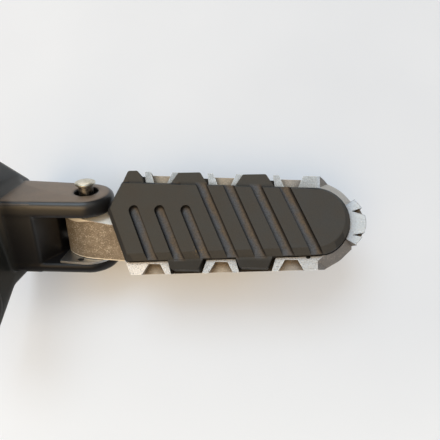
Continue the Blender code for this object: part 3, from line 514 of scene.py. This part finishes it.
def gloss_black_paint():
    """Gloss black paint, with a painted grey-green reflection on the hanger, and road dust with a
    painted reflection on the upper ear's top.
    """
    s = Shading("look_gloss_black_paint")
    facing = s.span(s.along(s.normal, PIN_AXIS), 0.90, 0.995)
    on_ear = s.around(s.level, EAR_LEVEL, 2 * MM)
    hanger = s.around(s.x, HANGER_ROOT_X, -3 * MM)
    clouds = s.noise(7 * MM, 4.0, 0.65)
    # Road dust with a painted reflection on the upper ear's top face, less towards the hanger.
    dust_and_reflection_film = s.product(facing, on_ear, s.span(clouds, 0.25, 0.75, 0.70, 1.0))
    dust_and_reflection_film = s.product(dust_and_reflection_film, s.span(hanger, 0.0, 1.0, 1.0, 0.35))
    base = s.layer(PAINT, ROAD_DUST_AND_REFLECTION, dust_and_reflection_film, 0.75)
    # A painted grey-green reflection on the hanger.
    base = s.layer(base, HANGER_REFLECTION, hanger, 0.55)
    s.round_edges(2.2 * MM)
    s.bump(s.noise(1.6 * MM), 0.03 * MM, 0.25)
    s.bump(s.noise(0.5 * MM), 0.01 * MM, 0.2)
    rough = s.span(dust_and_reflection_film, 0.0, 1.0, 0.30, 0.48)
    sheen = s.span(s.level, *SHEEN_FADE, 0.20, 0.55)
    return s.set(Base_Color=base, Roughness=rough, Specular_IOR_Level=sheen)


def plated(name, colour, tint, rough, grain_size):
    """Plated steel: brushed streaks, faint blotches of a second tint, painted highlights on edges and
    painted shade in corners.
    """
    s = Shading(name)
    streaks = s.noise(grain_size, 3.0, 0.6, stretch=(1.0, 1.0, 0.15))
    blotches = s.noise(2.5 * MM, 3.0, 0.6)
    streak = tuple(0.55 * c for c in colour)
    corner_shade = tuple(0.25 * c for c in colour)
    base = s.mix(s.span(blotches, 0.35, 0.70), colour, tint)
    base = s.mix(s.span(streaks, 0.45, 0.70, 0.0, 0.35), base, streak)
    # Painted shade in corners, and a painted highlight along edges.
    base = s.mix(s.span(s.crevice(1.5 * MM), 0.2, 0.8), corner_shade, base)
    base = s.layer(base, STEEL_EDGE_HIGHLIGHT, s.edges(0.25 * MM), 0.7)
    s.bump(streaks, 0.02 * MM, 0.4)
    roughness = s.span(blotches, 0.3, 0.7, rough - 0.05, rough + 0.08)
    return s.set(Base_Color=base, Metallic=1.0, Roughness=roughness)


def dark_shank_pin():
    """The pin: a bright plated head on a darker shank."""
    s = Shading("look_dark_shank_pin")
    shank = s.around(s.level, HEAD_UNDER_LEVEL - 0.1 * MM, 0.2 * MM, 1.0, 0.0)
    blotches = s.noise(1.6 * MM, 3.0, 0.65)
    streaks = s.noise(0.4 * MM, 3.0, 0.6, stretch=(1.0, 1.0, 0.2))
    head = s.mix(s.span(blotches, 0.35, 0.68), PIN_HEAD_LIGHT, PIN_HEAD_DULL)
    # The shank, darker than the head.
    shank_colour = s.mix(s.span(blotches, 0.42, 0.60), PIN_SHANK_DARK, PIN_SHANK_LIGHT)
    base = s.mix(shank, head, shank_colour)
    # Painted shade in the pin's corners.
    base = s.mix(s.span(s.crevice(1.2 * MM), 0.2, 0.8), PIN_CORNER_SHADE, base)
    s.bump(streaks, 0.02 * MM, 0.4)
    s.bump(blotches, 0.03 * MM, 0.3)
    return s.set(Base_Color=base, Metallic=1.0, Roughness=s.span(blotches, 0.3, 0.7, 0.28, 0.42))


def sintered_bronze():
    """Porous bronze, oiled darker in its pores."""
    s = Shading("look_sintered_bronze")
    pores = s.cells(0.35 * MM)
    base = s.mix(s.span(pores, 0.10, 0.35), BRONZE_PORE, BRONZE)
    s.bump(pores, 0.03 * MM, 0.5)
    return s.set(Base_Color=base, Metallic=1.0, Roughness=0.45)


def soften(node, width):
    """Rounds a CAD node's edges with modifiers; its own mesh's points stay as imported."""
    made = frame["nodes"][node]
    if "custom_normal" in made.data.attributes:
        made.data.attributes.remove(made.data.attributes["custom_normal"])
    made.data.shade_smooth()
    weld = made.modifiers.new("weld", "WELD")
    weld.merge_threshold = 0.002 * MM
    flat = made.modifiers.new("flat_faces", "DECIMATE")
    flat.decimate_type = "DISSOLVE"
    flat.angle_limit = math.radians(1.0)
    bevel = made.modifiers.new("round_edges", "BEVEL")
    bevel.width = width
    bevel.segments = 3
    bevel.limit_method = "ANGLE"
    bevel.angle_limit = math.radians(35.0)
    bevel.harden_normals = True
    bevel.use_clamp_overlap = True


def dress(node, look, width=0.0):
    """Gives a CAD node its material, and rounds its edges when given a width."""
    made = frame["nodes"][node]
    made.data.materials.clear()
    made.data.materials.append(look)
    if width:
        soften(node, width)


def dress_all():
    zinc = plated("look_zinc", ZINC, ZINC_YELLOW, 0.34, 0.5 * MM)
    bright = plated("look_bright_plate", BRIGHT_PLATE, BRIGHT_PLATE_GREY, 0.38, 0.4 * MM)
    steel = plated("look_plain_steel", PLAIN_STEEL, PLAIN_STEEL_BROWN, 0.36, 0.4 * MM)
    bronze = sintered_bronze()
    dress("rubber_pad", tread_rubber(), 0.35 * MM)
    dress("peg_body", cast_aluminium(), 0.25 * MM)
    dress("hanger_bracket", gloss_black_paint(), 0.40 * MM)
    dress("clevis_pin", dark_shank_pin(), 0.12 * MM)
    dress("detent_plate", bright, 0.12 * MM)
    dress("plate_rivet", bright, 0.15 * MM)
    for node in ("pin_washer", "hanger_collar_front", "hanger_collar_rear"):
        dress(node, zinc, 0.15 * MM)
    for place in ("inner", "outer"):
        for kind in ("pad_screw", "flat_washer", "lock_washer", "pad_nut"):
            dress(f"{kind}_{place}", zinc, 0.15 * MM)
    for node in ("retaining_clip", "backing_plate"):
        dress(node, steel, 0.10 * MM)
    for node in ("detent_ball", "detent_spring"):
        dress(node, steel)
        frame["nodes"][node].data.shade_smooth()
    for node in ("upper_bush", "lower_bush"):
        dress(node, bronze, 0.15 * MM)


def sun(name, towards, width, strength, colour):
    """A soft far light, width degrees across, that stands in the direction towards."""
    data = bpy.data.lights.new(name, "SUN")
    data.angle = math.radians(width)
    data.energy = strength
    data.color = colour
    light = bpy.data.objects.new(name, data)
    light.rotation_mode = "QUATERNION"
    light.rotation_quaternion = Vector(towards).to_track_quat("Z", "Y")
    bpy.context.scene.collection.objects.link(light)


def floor_material():
    """Pale, faintly mottled ground, painted lighter to the rear and inboard, with a faint painted glow
    that is tan as a painted shadow in the peg's own shade.
    """
    s = Shading("look_floor")
    pale = s.mix(s.noise(60 * MM), FLOOR_DARK, FLOOR_PALE)
    # Painted light: the floor lighter to the rear and inboard.
    pale = s.mix(s.span(s.y, *FLOOR_REAR_FADE, 0.30, 0.0), pale, FLOOR_REAR_LIGHT)
    pale = s.mix(s.span(s.x, *FLOOR_INBOARD_FADE, 0.25, 0.0), pale, FLOOR_INBOARD_LIGHT)
    # Painted shadow and light: a tan glow where the peg's shadow falls, a faint cool glow elsewhere.
    along = s.product(s.span(s.x, *SHADE_HANGER_FADE), s.span(s.x, *SHADE_END_FADE))
    across = s.product(s.span(s.y, *SHADE_REAR_FADE), s.span(s.y, *SHADE_FRONT_FADE))
    shade = s.product(along, across)
    glow = s.layer(GLOW_PLAIN, GLOW_SHADE, shade, 0.6)
    s.set(Base_Color=pale, Roughness=0.9, Specular_IOR_Level=0.1)
    return s.set(Emission_Color=glow, Emission_Strength=0.28)


def floor():
    mesh = bpy.data.meshes.new("studio_floor")
    signs = [(-1, -1), (1, -1), (1, 1), (-1, 1)]
    corners = [(x * FLOOR_REACH, y * FLOOR_REACH, FLOOR_Z) for x, y in signs]
    mesh.from_pydata(corners, [], [(0, 1, 2, 3)])
    made = bpy.data.objects.new("studio_floor", mesh)
    bpy.context.scene.collection.objects.link(made)
    mesh.materials.append(floor_material())


def surroundings():
    """A dark horizon, a grey ceiling and a warm rear wall, where the camera sees plain pale grey."""
    world = bpy.data.worlds.new("studio")
    bpy.context.scene.world = world
    world.use_nodes = True
    s = Nodes(world.node_tree, "Generated")
    room = s.mix(s.span(s.along(s.place, UP), 0.05, 0.60), ROOM_HORIZON, ROOM_CEILING)
    warm_wall = s.span(s.along(s.place, WARM_WALL.normalized()), 0.86, 0.96)
    room = s.mix(warm_wall, room, WARM_WALL_GLOW)
    seen = s.add("ShaderNodeLightPath").outputs["Is Camera Ray"]
    background = s.tree.nodes["Background"]
    s.link(s.mix(seen, room, BACKDROP), background.inputs["Color"])


def studio():
    """Pale floor, a cool high window and a low one at the front, a soft ceiling, a warm wall behind."""
    floor()
    surroundings()
    sun("window", (-0.12, 0.46, 0.88), width=34.0, strength=1.05, colour=(0.66, 0.84, 1.0))
    sun("warm_wall", WARM_WALL, width=40.0, strength=0.50, colour=(1.0, 0.74, 0.44))
    sun("low_window", (-0.30, 0.94, 0.20), width=30.0, strength=0.45, colour=(1.0, 0.93, 0.84))
    sun("ceiling", (0.05, 0.05, 1.0), width=85.0, strength=1.05, colour=(0.97, 0.94, 0.86))
    bpy.context.scene.view_settings.view_transform = "Standard"


def camera():
    data = bpy.data.cameras.new("camera")
    data.lens = CAMERA_LENS
    data.sensor_width = CAMERA_SENSOR
    data.clip_start = 10 * MM
    made = bpy.data.objects.new("camera", data)
    bpy.context.scene.collection.objects.link(made)
    back = CAMERA_BACK.normalized()
    right = CAMERA_UP.cross(back).normalized()
    turned = Matrix((right, back.cross(right), back)).transposed().to_4x4()
    made.matrix_world = Matrix.Translation(CAMERA_AT) @ turned
    bpy.context.scene.camera = made


dress_all()
studio()
camera()
